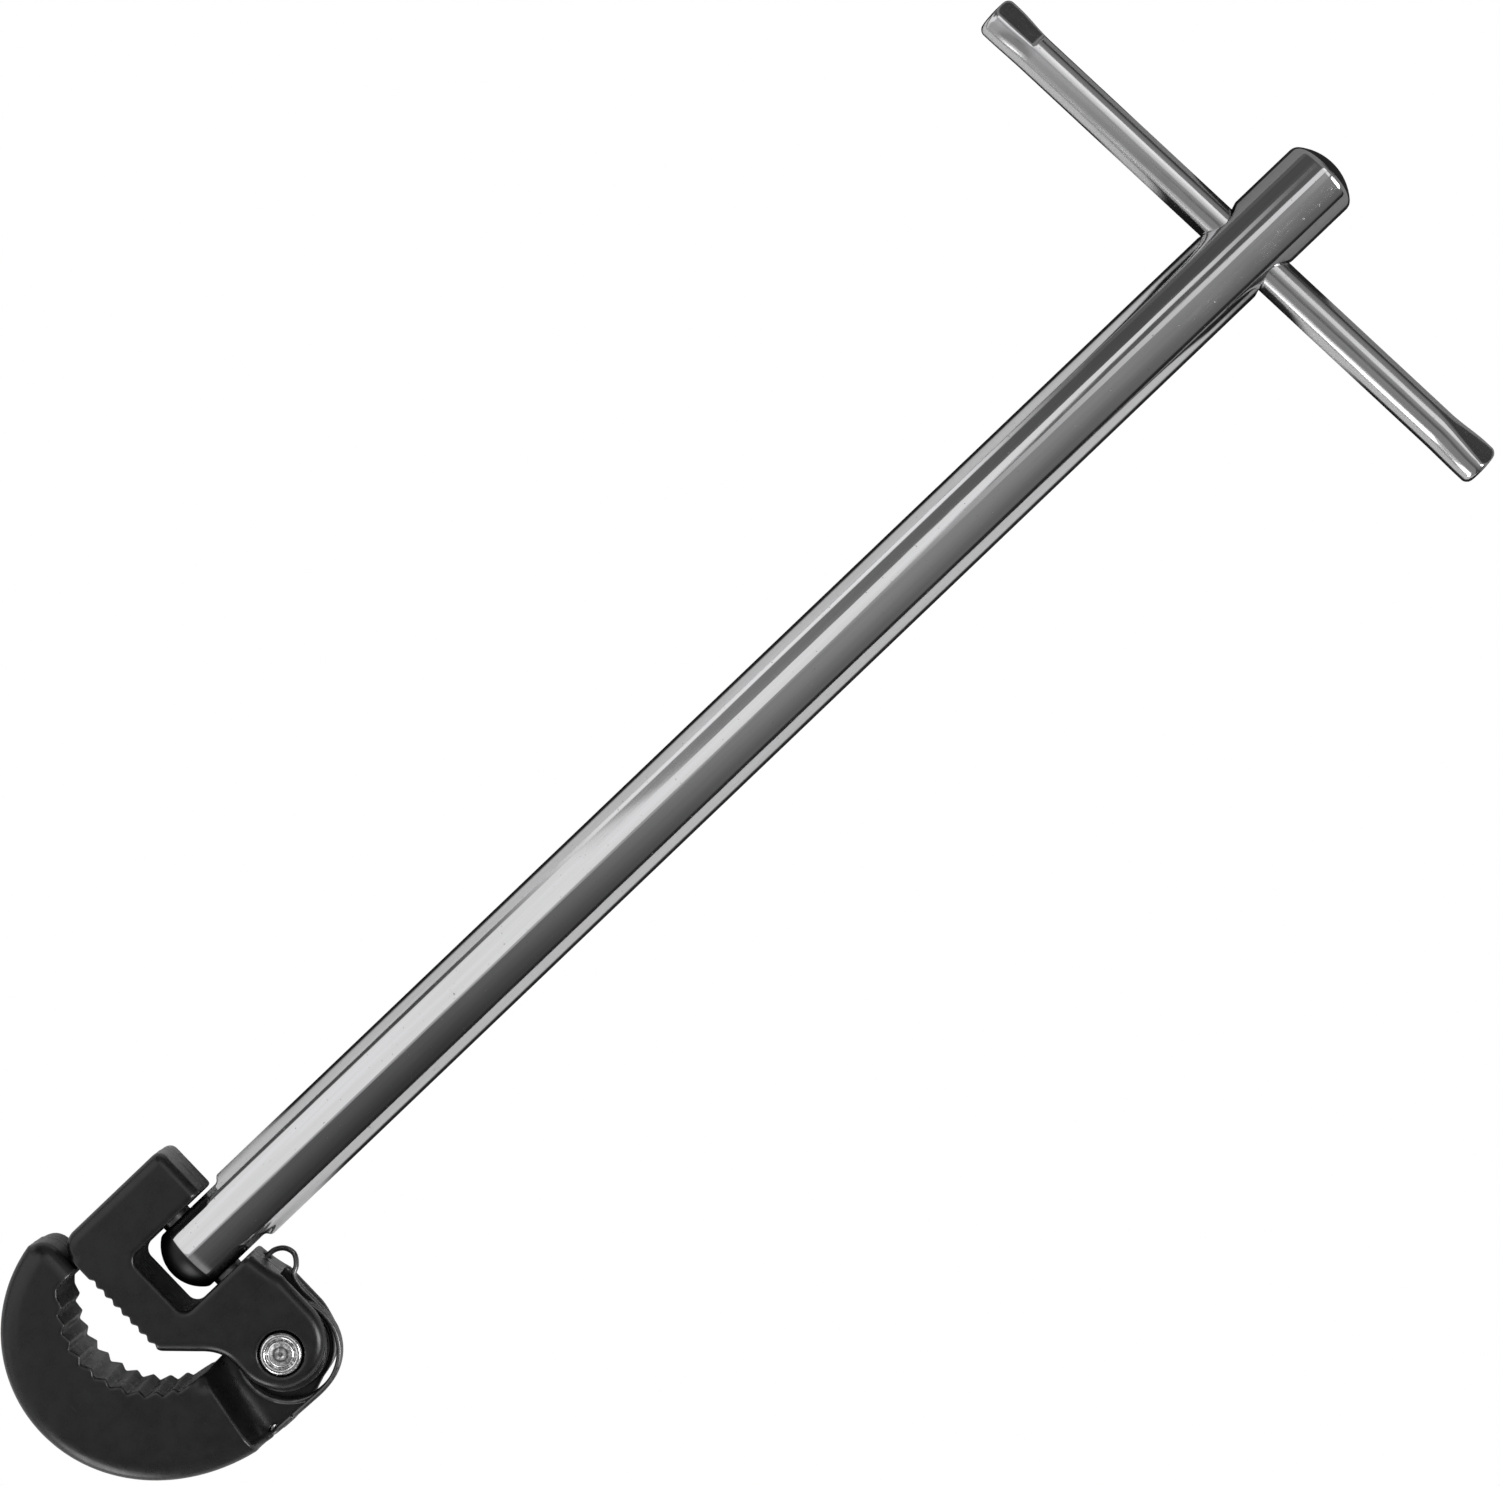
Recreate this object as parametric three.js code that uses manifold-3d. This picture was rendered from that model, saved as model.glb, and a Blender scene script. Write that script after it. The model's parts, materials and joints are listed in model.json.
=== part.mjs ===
// Basin wrench: a chromed bar with a sliding T-bar at one end and, at the other, a black head that
// tilts on a cross pin. The head is a forked jaw body with a spring-loaded hook jaw riveted in its fork.
//
// Units are millimetres. The pieces are drawn about the cross pin: X runs across the tool, Y from the
// head to the T-bar, and Z through its thickness. The finished group is then moved so that its origin
// is on the surface that the tool lies on, below the middle of its length and width.
import * as THREE from 'three';
import { mergeVertices } from 'three/addons/utils/BufferGeometryUtils.js';
import Module from 'manifold-3d';

const wasm = await Module();
wasm.setup();

// ---- Driving dimensions ----
const GAP = 0.3; // clearance between neighbouring pieces
const THROUGH = 8; // a cut from -THROUGH to THROUGH goes right through any piece

const SHAFT_RADIUS = 6.35; // half-inch bar
const SHAFT_TOP = 242.2; // from the cross pin to the domed end
const SHAFT_DOME = 2.6; // height of the domed end
const SHAFT_RIM = -1.4; // where the rounded head end begins
const SHAFT_NOSE = -6.3; // its lowest point
const FLAT_HALF_WIDTH = 5.4; // side flats that enter the head's slot
const FLAT_SHOULDER = 9.1; // upper end of the side flats

const BAR_RADIUS = 3.1;
const BAR_LENGTH = 103.4;
const BAR_HEIGHT = 223.4; // where the bar crosses the shaft's axis
const BAR_TILT = THREE.MathUtils.degToRad(3.4); // the bar hangs askew in its loose hole
const BAR_OFFSET = -1.7; // how far the bar's middle is from the shaft's axis
const BAR_HOLE_RADIUS = 3.6;
const SWAGE_LENGTH = 8.3; // the flattened ends that keep the bar in its hole
const SWAGE_HALF_THICKNESS = 2.55;
const SWAGE_SPREAD = 1.19;
const SWAGE_TURN = THREE.MathUtils.degToRad(35); // which way the flats face, from +Z towards +Y

const BODY_HALF = 5.9; // half the jaw body's thickness
const BODY_EDGE = 1;
const EAR_LEFT = -15.2;
const EAR_TOP = 6.5;
const EAR_CORNER = 1.5;
const SLOT_HALF_WIDTH = 6.05;
const SLOT_FLOOR = -8.3;
const TEETH_LINE = -14.85; // tips of the fixed teeth
const FORK_FRONT = 3.3; // inner faces of the fork's two lugs
const FORK_BACK = -3.4;
const FORK_FLOOR = 11.6;
const BACK_LUG_EDGE = 0.6;

const PIN_RADIUS = 2.5;
const PIN_LEFT = -14.9;
const PIN_RIGHT = 9.8;

const RIVET_X = 20.4;
const RIVET_Y = -1.4;
const RIVET_RADIUS = 2.5;
const RIVET_HEAD_RADIUS = 3.25;
const RIVET_HEAD_BASE = 4.8;
const RIVET_HEAD_TOP = 6.3;

const HOOK_HALF = 6.35; // half the hook jaw's thickness
const HOOK_EDGE = 1.4;
const HOOK_X = 3.8; // the middle of the hook's lowest point
const HOOK_BOTTOM = -36.8;
const MOUTH_X = 1; // centre of the hook's toothed arc
const MOUTH_Y = -10.3;
const TOOTH_ROOT = 14.4;
const TOOTH_TIP = 13.55;
const TANG_FRONT = -0.1; // the thinned part that enters the fork
const TANG_BACK = -3.1;
const EYE_RADIUS = 7.4;
const BOSS_RADIUS = 6.5; // carries the spring's coil
const BOSS_TOP = 3;

const WIRE_RADIUS = 0.43;
const COIL_X = 21;
const COIL_Y = -1.2;
const COIL_RADIUS = 7.9;
const COIL_TURNS = 2.25;
const COIL_LOW = 0.65; // height of the turn that leads to the fixed leg
const COIL_HIGH = 2.55; // height of the turn that leads to the moving leg
const ANCHOR_X = 8.2; // small hole in the body that holds the fixed leg
const ANCHOR_Z = -2.4;
const ANCHOR_FOOT = 3.6; // the bottom of that hole
const LEG_TIP_X = 28.55; // notch in the tang that holds the moving leg
const LEG_TIP_Y = -11.6;
const WIRE_HOLE = WIRE_RADIUS + GAP;

// ---- Materials ----
const chrome = new THREE.MeshStandardMaterial({ color: 0xc4c6c8, roughness: 0.16, metalness: 1 });
const barChrome = new THREE.MeshStandardMaterial({ color: 0xb4b6b8, roughness: 0.2, metalness: 1 });
const blackCoat = new THREE.MeshStandardMaterial({ color: 0x262626, roughness: 0.55, metalness: 0.2 });
const pinSteel = new THREE.MeshStandardMaterial({ color: 0x4b4b4b, roughness: 0.4, metalness: 0.9 });
const rivetSteel = new THREE.MeshStandardMaterial({ color: 0xa8a8a8, roughness: 0.3, metalness: 1 });
const springSteel = new THREE.MeshStandardMaterial({ color: 0x202020, roughness: 0.4, metalness: 0.7 });

// ---- Solids and meshes ----
function toSolid(geometry) {
  const bare = geometry.index ? geometry.clone() : geometry;
  bare.deleteAttribute('normal');
  bare.deleteAttribute('uv');
  const merged = mergeVertices(bare, 1e-4);
  return new wasm.Manifold(new wasm.Mesh({
    numProp: 3,
    vertProperties: new Float32Array(merged.attributes.position.array),
    triVerts: new Uint32Array(merged.index.array),
  }));
}

function toMesh(name, solid, material) {
  const data = solid.getMesh();
  const geometry = new THREE.BufferGeometry();
  geometry.setAttribute('position', new THREE.BufferAttribute(data.vertProperties, 3));
  geometry.setIndex(new THREE.BufferAttribute(data.triVerts, 1));
  geometry.computeVertexNormals();
  const mesh = new THREE.Mesh(geometry, material);
  mesh.name = name;
  return mesh;
}

// A plate from z = low to z = high, with its long edges taken off by the given amount.
function plate(shape, low, high, edge = 0) {
  const geometry = new THREE.ExtrudeGeometry(shape, {
    depth: high - low - 2 * edge,
    bevelEnabled: edge > 0,
    bevelThickness: edge,
    bevelSize: edge,
    bevelOffset: -edge,
    bevelSegments: 2,
    curveSegments: 10,
  });
  geometry.translate(0, 0, low + edge);
  return toSolid(geometry);
}

function box(x0, x1, y0, y1, z0, z1) {
  const geometry = new THREE.BoxGeometry(x1 - x0, y1 - y0, z1 - z0);
  geometry.translate((x0 + x1) / 2, (y0 + y1) / 2, (z0 + z1) / 2);
  return toSolid(geometry);
}

function rodAlongX(radius, x0, x1, y, z, sides = 24) {
  const geometry = new THREE.CylinderGeometry(radius, radius, x1 - x0, sides);
  geometry.rotateZ(Math.PI / 2);
  geometry.translate((x0 + x1) / 2, y, z);
  return toSolid(geometry);
}

function rodAlongY(radius, x, y0, y1, z, sides = 12) {
  const geometry = new THREE.CylinderGeometry(radius, radius, y1 - y0, sides);
  geometry.translate(x, (y0 + y1) / 2, z);
  return toSolid(geometry);
}

function rodAlongZ(radius, x, y, z0, z1, sides = 28) {
  const geometry = new THREE.CylinderGeometry(radius, radius, z1 - z0, sides);
  geometry.rotateX(Math.PI / 2);
  geometry.translate(x, y, (z0 + z1) / 2);
  return toSolid(geometry);
}

// Points along an arc, from one angle to another in degrees.
function arc(x, y, radius, from, to, steps) {
  const points = [];
  for (let i = 0; i <= steps; i += 1) {
    const angle = THREE.MathUtils.degToRad(from + ((to - from) * i) / steps);
    points.push(new THREE.Vector2(x + radius * Math.cos(angle), y + radius * Math.sin(angle)));
  }
  return points;
}

// ---- Shaft ----
// The outline of a round dome that caps the bar, from its rim to its tip, with the tip at the origin.
function dome(depth) {
  const radius = (SHAFT_RADIUS ** 2 + depth ** 2) / (2 * depth);
  const rimAngle = THREE.MathUtils.radToDeg(Math.atan2(radius - depth, SHAFT_RADIUS));
  return arc(0, -radius, radius, rimAngle, 90, 6);
}

function shaft() {
  // The head end is rounder than the other one, and both domes meet the bar at a crisp rim.
  const nose = dome(SHAFT_RIM - SHAFT_NOSE).map((p) => new THREE.Vector2(p.x, SHAFT_NOSE - p.y));
  const crown = dome(SHAFT_DOME).map((p) => new THREE.Vector2(p.x, SHAFT_TOP + p.y));
  nose.reverse();
  const profile = [...nose, ...crown];
  profile[0].x = 0;
  profile.at(-1).x = 0;
  let solid = toSolid(new THREE.LatheGeometry(profile, 32));
  for (const side of [-1, 1]) {
    const inner = side * FLAT_HALF_WIDTH;
    const outer = side * (SHAFT_RADIUS + 1);
    solid = solid.subtract(box(
      Math.min(inner, outer), Math.max(inner, outer), SHAFT_NOSE - 1, FLAT_SHOULDER, -THROUGH, THROUGH,
    ));
  }
  solid = solid.subtract(rodAlongX(PIN_RADIUS + GAP, -THROUGH, THROUGH, 0, 0));
  return solid.subtract(rodAlongX(BAR_HOLE_RADIUS, -THROUGH, THROUGH, BAR_HEIGHT, 0));
}

// ---- T-bar, drawn along X about its own middle ----
function tBar() {
  const half = BAR_LENGTH / 2;
  const chamfer = 0.7;
  const blend = 1.2; // where the round bar turns into the flattened end
  const endProfile = [
    [0, half],
    [BAR_RADIUS - chamfer, half],
    [BAR_RADIUS, half - chamfer],
    [BAR_RADIUS, half - SWAGE_LENGTH],
    [BAR_RADIUS, half - SWAGE_LENGTH - blend],
  ];
  const profile = [
    ...endProfile.map(([r, y]) => new THREE.Vector2(r, -y)),
    ...endProfile.reverse().map(([r, y]) => new THREE.Vector2(r, y)),
  ];
  const geometry = new THREE.LatheGeometry(profile, 24);
  const position = geometry.attributes.position;
  for (let i = 0; i < position.count; i += 1) {
    if (Math.abs(position.getY(i)) > half - SWAGE_LENGTH - 0.01) {
      const z = THREE.MathUtils.clamp(position.getZ(i), -SWAGE_HALF_THICKNESS, SWAGE_HALF_THICKNESS);
      position.setXYZ(i, position.getX(i) * SWAGE_SPREAD, position.getY(i), z);
    }
  }
  geometry.rotateZ(-Math.PI / 2);
  geometry.rotateX(-SWAGE_TURN);
  return toSolid(geometry);
}

// ---- Cross pin ----
function pivotPin() {
  const chamfer = 0.35;
  const length = PIN_RIGHT - PIN_LEFT;
  const profile = [
    [0, 0],
    [PIN_RADIUS - chamfer, 0],
    [PIN_RADIUS, chamfer],
    [PIN_RADIUS, length - chamfer],
    [PIN_RADIUS - chamfer, length],
    [0, length],
  ].map(([r, y]) => new THREE.Vector2(r, y));
  const geometry = new THREE.LatheGeometry(profile, 24);
  geometry.rotateZ(-Math.PI / 2);
  geometry.translate(PIN_LEFT, 0, 0);
  return toSolid(geometry);
}

// ---- Jaw body ----
// The outline runs a little below the fixed teeth, which are then cut square across the thickness.
function bodyOutline() {
  const lugX = 18.8;
  const lugY = -0.7;
  const lugRadius = 7.3;
  const cornerRadius = 3; // below the left ear
  const cornerEnd = 1.45 * Math.PI;
  const teethRoom = 2;
  const shape = new THREE.Shape();
  shape.moveTo(EAR_LEFT + EAR_CORNER, EAR_TOP);
  shape.absarc(EAR_LEFT + EAR_CORNER, EAR_TOP - EAR_CORNER, EAR_CORNER, Math.PI / 2, Math.PI, false);
  shape.lineTo(EAR_LEFT, TEETH_LINE + cornerRadius);
  shape.absarc(
    EAR_LEFT + cornerRadius, TEETH_LINE + cornerRadius, cornerRadius, Math.PI, cornerEnd, false,
  );
  shape.lineTo(-11.4, TEETH_LINE - teethRoom);
  shape.lineTo(5.4, TEETH_LINE - teethRoom);
  shape.lineTo(11.5, -10.6);
  shape.quadraticCurveTo(13.7, -8.1, 16.2, lugY - lugRadius);
  shape.lineTo(lugX, lugY - lugRadius);
  shape.absarc(lugX, lugY, lugRadius, -Math.PI / 2, Math.PI / 2, false);
  shape.lineTo(12, lugY + lugRadius);
  shape.quadraticCurveTo(9.5, 5.7, SLOT_HALF_WIDTH, 5.4);
  shape.lineTo(SLOT_HALF_WIDTH - 1, EAR_TOP);
  shape.closePath();
  return shape;
}

function slotOutline() {
  const corner = 1.8;
  const top = 12;
  const shape = new THREE.Shape();
  shape.moveTo(-SLOT_HALF_WIDTH, top);
  shape.lineTo(-SLOT_HALF_WIDTH, SLOT_FLOOR + corner);
  shape.absarc(-SLOT_HALF_WIDTH + corner, SLOT_FLOOR + corner, corner, Math.PI, 1.5 * Math.PI, false);
  shape.absarc(SLOT_HALF_WIDTH - corner, SLOT_FLOOR + corner, corner, 1.5 * Math.PI, 2 * Math.PI, false);
  shape.lineTo(SLOT_HALF_WIDTH, top);
  shape.closePath();
  return shape;
}

// What is cut away below the fixed teeth.
function bodyTeeth() {
  const pitch = 1.9;
  const depth = 0.5;
  const count = 8;
  const first = -8.06;
  const right = 9;
  const below = TEETH_LINE - 3;
  const shape = new THREE.Shape();
  shape.moveTo(EAR_LEFT, below);
  shape.lineTo(EAR_LEFT, TEETH_LINE);
  for (let i = 0; i < count; i += 1) {
    const x = first + i * pitch;
    shape.lineTo(x, TEETH_LINE);
    shape.lineTo(x + pitch * 0.4, TEETH_LINE + depth);
    shape.lineTo(x + pitch * 0.8, TEETH_LINE);
  }
  shape.lineTo(right, TEETH_LINE);
  shape.lineTo(right, below);
  return plate(shape, -THROUGH, THROUGH);
}

function jawBody() {
  let solid = plate(bodyOutline(), -BODY_HALF, BODY_HALF, BODY_EDGE);
  // The back lug reaches a little further out than the front one.
  const backLug = new THREE.Shape();
  backLug.absarc(RIVET_X, RIVET_Y, EYE_RADIUS, 0, 2 * Math.PI, false);
  solid = solid.add(plate(backLug, -BODY_HALF, FORK_BACK, BACK_LUG_EDGE));
  solid = solid.subtract(plate(slotOutline(), -THROUGH, THROUGH));
  solid = solid.subtract(bodyTeeth());
  solid = solid.subtract(box(FORK_FLOOR, 30, -12, 9, FORK_BACK, FORK_FRONT));
  solid = solid.subtract(rodAlongX(PIN_RADIUS + GAP / 2, EAR_LEFT - 2, PIN_RIGHT + GAP, 0, 0));
  solid = solid.subtract(rodAlongZ(RIVET_RADIUS + GAP, RIVET_X, RIVET_Y, -THROUGH, THROUGH));
  const counterbore = RIVET_HEAD_BASE - GAP;
  for (const [low, high] of [[counterbore, THROUGH], [-THROUGH, -counterbore]]) {
    solid = solid.subtract(rodAlongZ(RIVET_HEAD_RADIUS + GAP, RIVET_X, RIVET_Y, low, high));
  }
  return solid.subtract(rodAlongY(WIRE_HOLE, ANCHOR_X, ANCHOR_FOOT, EAR_TOP + 2, ANCHOR_Z));
}

// ---- Rivet ----
function rivet() {
  const half = [
    [RIVET_RADIUS, RIVET_HEAD_BASE],
    [RIVET_HEAD_RADIUS, RIVET_HEAD_BASE],
    [RIVET_HEAD_RADIUS, 5.9],
    [2.9, RIVET_HEAD_TOP],
    [2.3, RIVET_HEAD_TOP],
    [2, 5.95],
    [1.3, 6.2],
    [0, RIVET_HEAD_TOP],
  ];
  const profile = [
    ...half.slice().reverse().map(([r, z]) => new THREE.Vector2(r, -z)),
    ...half.map(([r, z]) => new THREE.Vector2(r, z)),
  ];
  const geometry = new THREE.LatheGeometry(profile, 24);
  geometry.rotateX(Math.PI / 2);
  geometry.translate(RIVET_X, RIVET_Y, 0);
  return toSolid(geometry);
}

// ---- Hook jaw ----
function hookOutline() {
  const leftRadius = 22.5;
  const rightWidth = 25.6;
  const rightHeight = 28.6;
  const right = HOOK_X + rightWidth;
  const shape = new THREE.Shape();
  const tipAngle = THREE.MathUtils.degToRad(190.3);
  shape.absarc(HOOK_X, HOOK_BOTTOM + leftRadius, leftRadius, tipAngle, 1.5 * Math.PI, false);
  shape.absellipse(
    HOOK_X, HOOK_BOTTOM + rightHeight, rightWidth, rightHeight, -Math.PI / 2, 0, false, 0,
  );
  shape.lineTo(right - 0.3, -4.5);
  shape.absarc(RIVET_X, RIVET_Y, EYE_RADIUS, 0.1, THREE.MathUtils.degToRad(188.4), false);
  shape.lineTo(14.5, -12.2);
  shape.lineTo(-10.5, -15.4);
  shape.lineTo(-14.9, -15.4);
  shape.quadraticCurveTo(-17.6, -15.6, -18.1, -18.1);
  return shape;
}

// The mouth that holds a nut: a toothed arc below, open towards the fixed teeth.
function mouthOutline() {
  const firstTip = -29.5;
  const toothAngle = 11.2;
  const tipToRoot = 6.7;
  const count = 10;
  const points = [[14.5, -12.2], [13.75, -16.6]];
  for (let i = 0; i < count; i += 1) {
    const tip = THREE.MathUtils.degToRad(firstTip - i * toothAngle);
    const root = THREE.MathUtils.degToRad(firstTip - i * toothAngle - tipToRoot);
    points.push([MOUTH_X + TOOTH_TIP * Math.cos(tip), MOUTH_Y + TOOTH_TIP * Math.sin(tip)]);
    points.push([MOUTH_X + TOOTH_ROOT * Math.cos(root), MOUTH_Y + TOOTH_ROOT * Math.sin(root)]);
  }
  points.push([-10.5, -19.2], [-10.5, -9], [14.5, -9]); // open at the top
  return new THREE.Shape(points.map(([x, y]) => new THREE.Vector2(x, y)));
}

// A recess on one face that thins the hook to its tang, with a curved shoulder.
function tangRecess(face, floor) {
  const depth = Math.abs(face - floor);
  const lean = 2.05; // how far the shoulder leans back from its foot
  const length = 26;
  const overshoot = 2; // the cut runs this far past the face
  const turn = THREE.MathUtils.degToRad(-9.5);
  const footX = 22.5;
  const footY = -11.6;
  const shape = new THREE.Shape();
  shape.moveTo(length, 0);
  shape.lineTo(0.9, 0);
  shape.quadraticCurveTo(-0.9, 0.1, -lean, depth);
  shape.lineTo(-lean, depth + overshoot);
  shape.lineTo(length, depth + overshoot);
  const geometry = new THREE.ExtrudeGeometry(shape, {
    depth: length,
    bevelEnabled: false,
    curveSegments: 6,
  });
  // The drawing's axes become Y and Z, and the extrusion runs along X.
  geometry.applyMatrix4(new THREE.Matrix4().makeBasis(
    new THREE.Vector3(0, 1, 0), new THREE.Vector3(0, 0, 1), new THREE.Vector3(1, 0, 0),
  ));
  geometry.translate(-14, 0, 0);
  if (face < 0) geometry.rotateY(Math.PI);
  geometry.rotateZ(turn);
  geometry.translate(footX, footY, floor);
  return toSolid(geometry);
}

function hookJaw() {
  let solid = plate(hookOutline(), -HOOK_HALF, HOOK_HALF, HOOK_EDGE);
  solid = solid.subtract(plate(mouthOutline(), -THROUGH, THROUGH));
  const boss = rodAlongZ(BOSS_RADIUS, RIVET_X, RIVET_Y, TANG_FRONT - 1, BOSS_TOP, 32);
  solid = solid.subtract(tangRecess(HOOK_HALF, TANG_FRONT).subtract(boss));
  solid = solid.subtract(tangRecess(-HOOK_HALF, TANG_BACK));
  solid = solid.subtract(rodAlongZ(RIVET_RADIUS + GAP, RIVET_X, RIVET_Y, -THROUGH, THROUGH));
  const notch = rodAlongZ(WIRE_HOLE, LEG_TIP_X, LEG_TIP_Y, -THROUGH, THROUGH, 12);
  const notchMouth = box(
    LEG_TIP_X, LEG_TIP_X + 3, LEG_TIP_Y - WIRE_HOLE, LEG_TIP_Y + WIRE_HOLE, -THROUGH, THROUGH,
  );
  return solid.subtract(notch.add(notchMouth));
}

// ---- Torsion spring: fixed leg, coil and moving leg in one wire ----
function springPath() {
  const points = [
    [ANCHOR_X, 4.1, ANCHOR_Z],
    [ANCHOR_X, 5.4, ANCHOR_Z],
    [8.3, 7, -2.3],
    [9.2, 8.5, -1.7],
    [10.8, 9.2, -0.7],
    [12.3, 8.4, 0.2],
    [13.1, 7.2, 0.6],
    [15, COIL_Y + COIL_RADIUS, COIL_LOW],
    [18, COIL_Y + COIL_RADIUS, COIL_LOW],
  ];
  const stepsPerTurn = 20;
  const steps = Math.round(COIL_TURNS * stepsPerTurn);
  for (let i = 0; i <= steps; i += 1) {
    const angle = Math.PI / 2 - (2 * Math.PI * COIL_TURNS * i) / steps;
    points.push([
      COIL_X + COIL_RADIUS * Math.cos(angle),
      COIL_Y + COIL_RADIUS * Math.sin(angle),
      COIL_LOW + ((COIL_HIGH - COIL_LOW) * i) / steps,
    ]);
  }
  points.push(
    [28.85, -4, COIL_HIGH],
    [28.7, -7.5, COIL_HIGH],
    [28.6, -10.4, COIL_HIGH],
    [LEG_TIP_X, -11.4, 2],
    [LEG_TIP_X, LEG_TIP_Y, 0.9],
    [LEG_TIP_X, LEG_TIP_Y, -2.6],
  );
  return new THREE.CatmullRomCurve3(points.map((p) => new THREE.Vector3(...p)), false, 'centripetal');
}

function torsionSpring() {
  const section = new THREE.Shape();
  section.absarc(0, 0, WIRE_RADIUS, 0, 2 * Math.PI, false);
  return toSolid(new THREE.ExtrudeGeometry(section, {
    steps: 96,
    curveSegments: 4,
    bevelEnabled: false,
    extrudePath: springPath(),
  }));
}

// ---- Assembly ----
const tool = new THREE.Group();
tool.add(toMesh('shaft', shaft(), chrome));

const bar = toMesh('t_bar', tBar(), barChrome);
bar.rotation.z = BAR_TILT;
bar.position.set(BAR_OFFSET, BAR_HEIGHT + BAR_OFFSET * Math.tan(BAR_TILT), 0);
tool.add(bar);

const head = new THREE.Group();
head.add(toMesh('jaw_body', jawBody(), blackCoat));
head.add(toMesh('pivot_pin', pivotPin(), pinSteel));
head.add(toMesh('rivet', rivet(), rivetSteel));
head.add(toMesh('torsion_spring', torsionSpring(), springSteel));
head.add(toMesh('hook_jaw', hookJaw(), blackCoat));
tool.add(head);

tool.position.set(-BAR_OFFSET, -(SHAFT_TOP + HOOK_BOTTOM) / 2, SHAFT_RADIUS);

export default tool;
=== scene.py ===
"""A basin wrench lying on a pale table: a chromed bar with a sliding T-bar, and a black head that tilts
on a cross pin and carries a spring-loaded hook jaw.

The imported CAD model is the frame: it says where the pieces are, how large they are and how they move.
Every piece that shows is made again here as a fine mesh. Most are the zero surface of a distance
field, so that each edge has a real rounding. The fields take x, y and z in millimetres from the
centre of the cross pin: x across the tool, y from the head to the T-bar and z through its thickness.
The finished meshes are in metres, in the frame.
"""
import json
import math

import bmesh
import bpy
import numpy as np
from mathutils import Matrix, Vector


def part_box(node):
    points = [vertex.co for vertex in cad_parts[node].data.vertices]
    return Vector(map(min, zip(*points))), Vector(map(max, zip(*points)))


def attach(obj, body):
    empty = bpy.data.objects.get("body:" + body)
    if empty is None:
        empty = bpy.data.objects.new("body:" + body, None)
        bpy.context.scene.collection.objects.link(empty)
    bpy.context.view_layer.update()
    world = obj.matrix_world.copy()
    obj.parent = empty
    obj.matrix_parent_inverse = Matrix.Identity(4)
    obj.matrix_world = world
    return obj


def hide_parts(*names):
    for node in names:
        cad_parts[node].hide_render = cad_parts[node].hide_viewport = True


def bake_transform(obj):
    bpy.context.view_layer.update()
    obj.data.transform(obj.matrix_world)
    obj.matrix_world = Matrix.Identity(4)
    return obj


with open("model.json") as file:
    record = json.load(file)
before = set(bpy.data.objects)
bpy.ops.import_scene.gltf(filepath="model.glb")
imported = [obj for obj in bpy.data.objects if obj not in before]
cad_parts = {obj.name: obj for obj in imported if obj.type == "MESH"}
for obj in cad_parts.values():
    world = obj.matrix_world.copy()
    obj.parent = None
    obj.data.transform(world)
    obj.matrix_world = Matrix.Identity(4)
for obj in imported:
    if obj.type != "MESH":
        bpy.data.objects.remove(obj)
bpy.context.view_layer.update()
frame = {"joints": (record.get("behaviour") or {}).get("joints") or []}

MM = 0.001


# ---- Places and sizes that the frame gives ----
def centre(node):
    low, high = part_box(node)
    return (low + high) / 2


ORIGIN = Vector((centre("shaft").x, centre("pivot_pin").y, centre("pivot_pin").z))


def span(node, axis):
    """A CAD node's extent along an axis, in millimetres from the cross pin."""
    low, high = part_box(node)
    return (low[axis] - ORIGIN[axis]) / MM, (high[axis] - ORIGIN[axis]) / MM


def joint(name):
    return next(j for j in frame["joints"] if j["name"] == name)


SHAFT_RADIUS = span("shaft", 0)[1]
SHAFT_NOSE, SHAFT_TOP = span("shaft", 1)
PIN_LEFT, PIN_RIGHT = span("pivot_pin", 0)
EAR_LEFT = span("jaw_body", 0)[0]
BODY_HALF = span("jaw_body", 2)[1]
HOOK_BOTTOM = span("hook_jaw", 1)[0]
HOOK_HALF = span("hook_jaw", 2)[1]
RIVET_X = (centre("rivet").x - ORIGIN.x) / MM
RIVET_Y = (centre("rivet").y - ORIGIN.y) / MM
RIVET_TOP = span("rivet", 2)[1]
RIVET_HEAD_RADIUS = (span("rivet", 0)[1] - span("rivet", 0)[0]) / 2
BAR_TILT = math.atan2(joint("t_bar_slide")["axis"][1], joint("t_bar_slide")["axis"][0])
BAR_MIDDLE_X = (centre("t_bar").x - ORIGIN.x) / MM
BAR_MIDDLE_Y = (centre("t_bar").y - ORIGIN.y) / MM
BAR_HEIGHT = BAR_MIDDLE_Y - BAR_MIDDLE_X * math.tan(BAR_TILT)  # where the T-bar crosses the shaft's axis

# ---- The other driving sizes, in millimetres, as the CAD source has them ----
GAP = 0.3  # clearance between neighbouring pieces
SHAFT_DOME = 2.6  # height of the domed end
SHAFT_RIM = -1.4  # where the rounded head end begins
FLAT_HALF_WIDTH = 5.4  # side flats that enter the head's slot
FLAT_SHOULDER = 9.1  # upper end of the side flats
PIN_RADIUS = 2.5
BAR_RADIUS = 3.1
BAR_LENGTH = 103.4
BAR_HOLE_RADIUS = 3.6
SWAGE_LENGTH = 8.3  # the T-bar's flattened ends
SWAGE_HALF_THICKNESS = 2.55
SWAGE_SPREAD = 1.19
SWAGE_TURN = math.radians(35)  # which way the flats face, from +Z towards +Y
EAR_TOP = 6.5  # top of the jaw body's left side
SLOT_HALF_WIDTH = 6.05
SLOT_FLOOR = -8.3
TEETH_LINE = -14.85  # tips of the fixed teeth
FORK_FRONT = 3.3  # inner faces of the fork's two lugs
FORK_BACK = -3.4
FORK_FLOOR = 11.6
RIVET_RADIUS = 2.5
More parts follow.
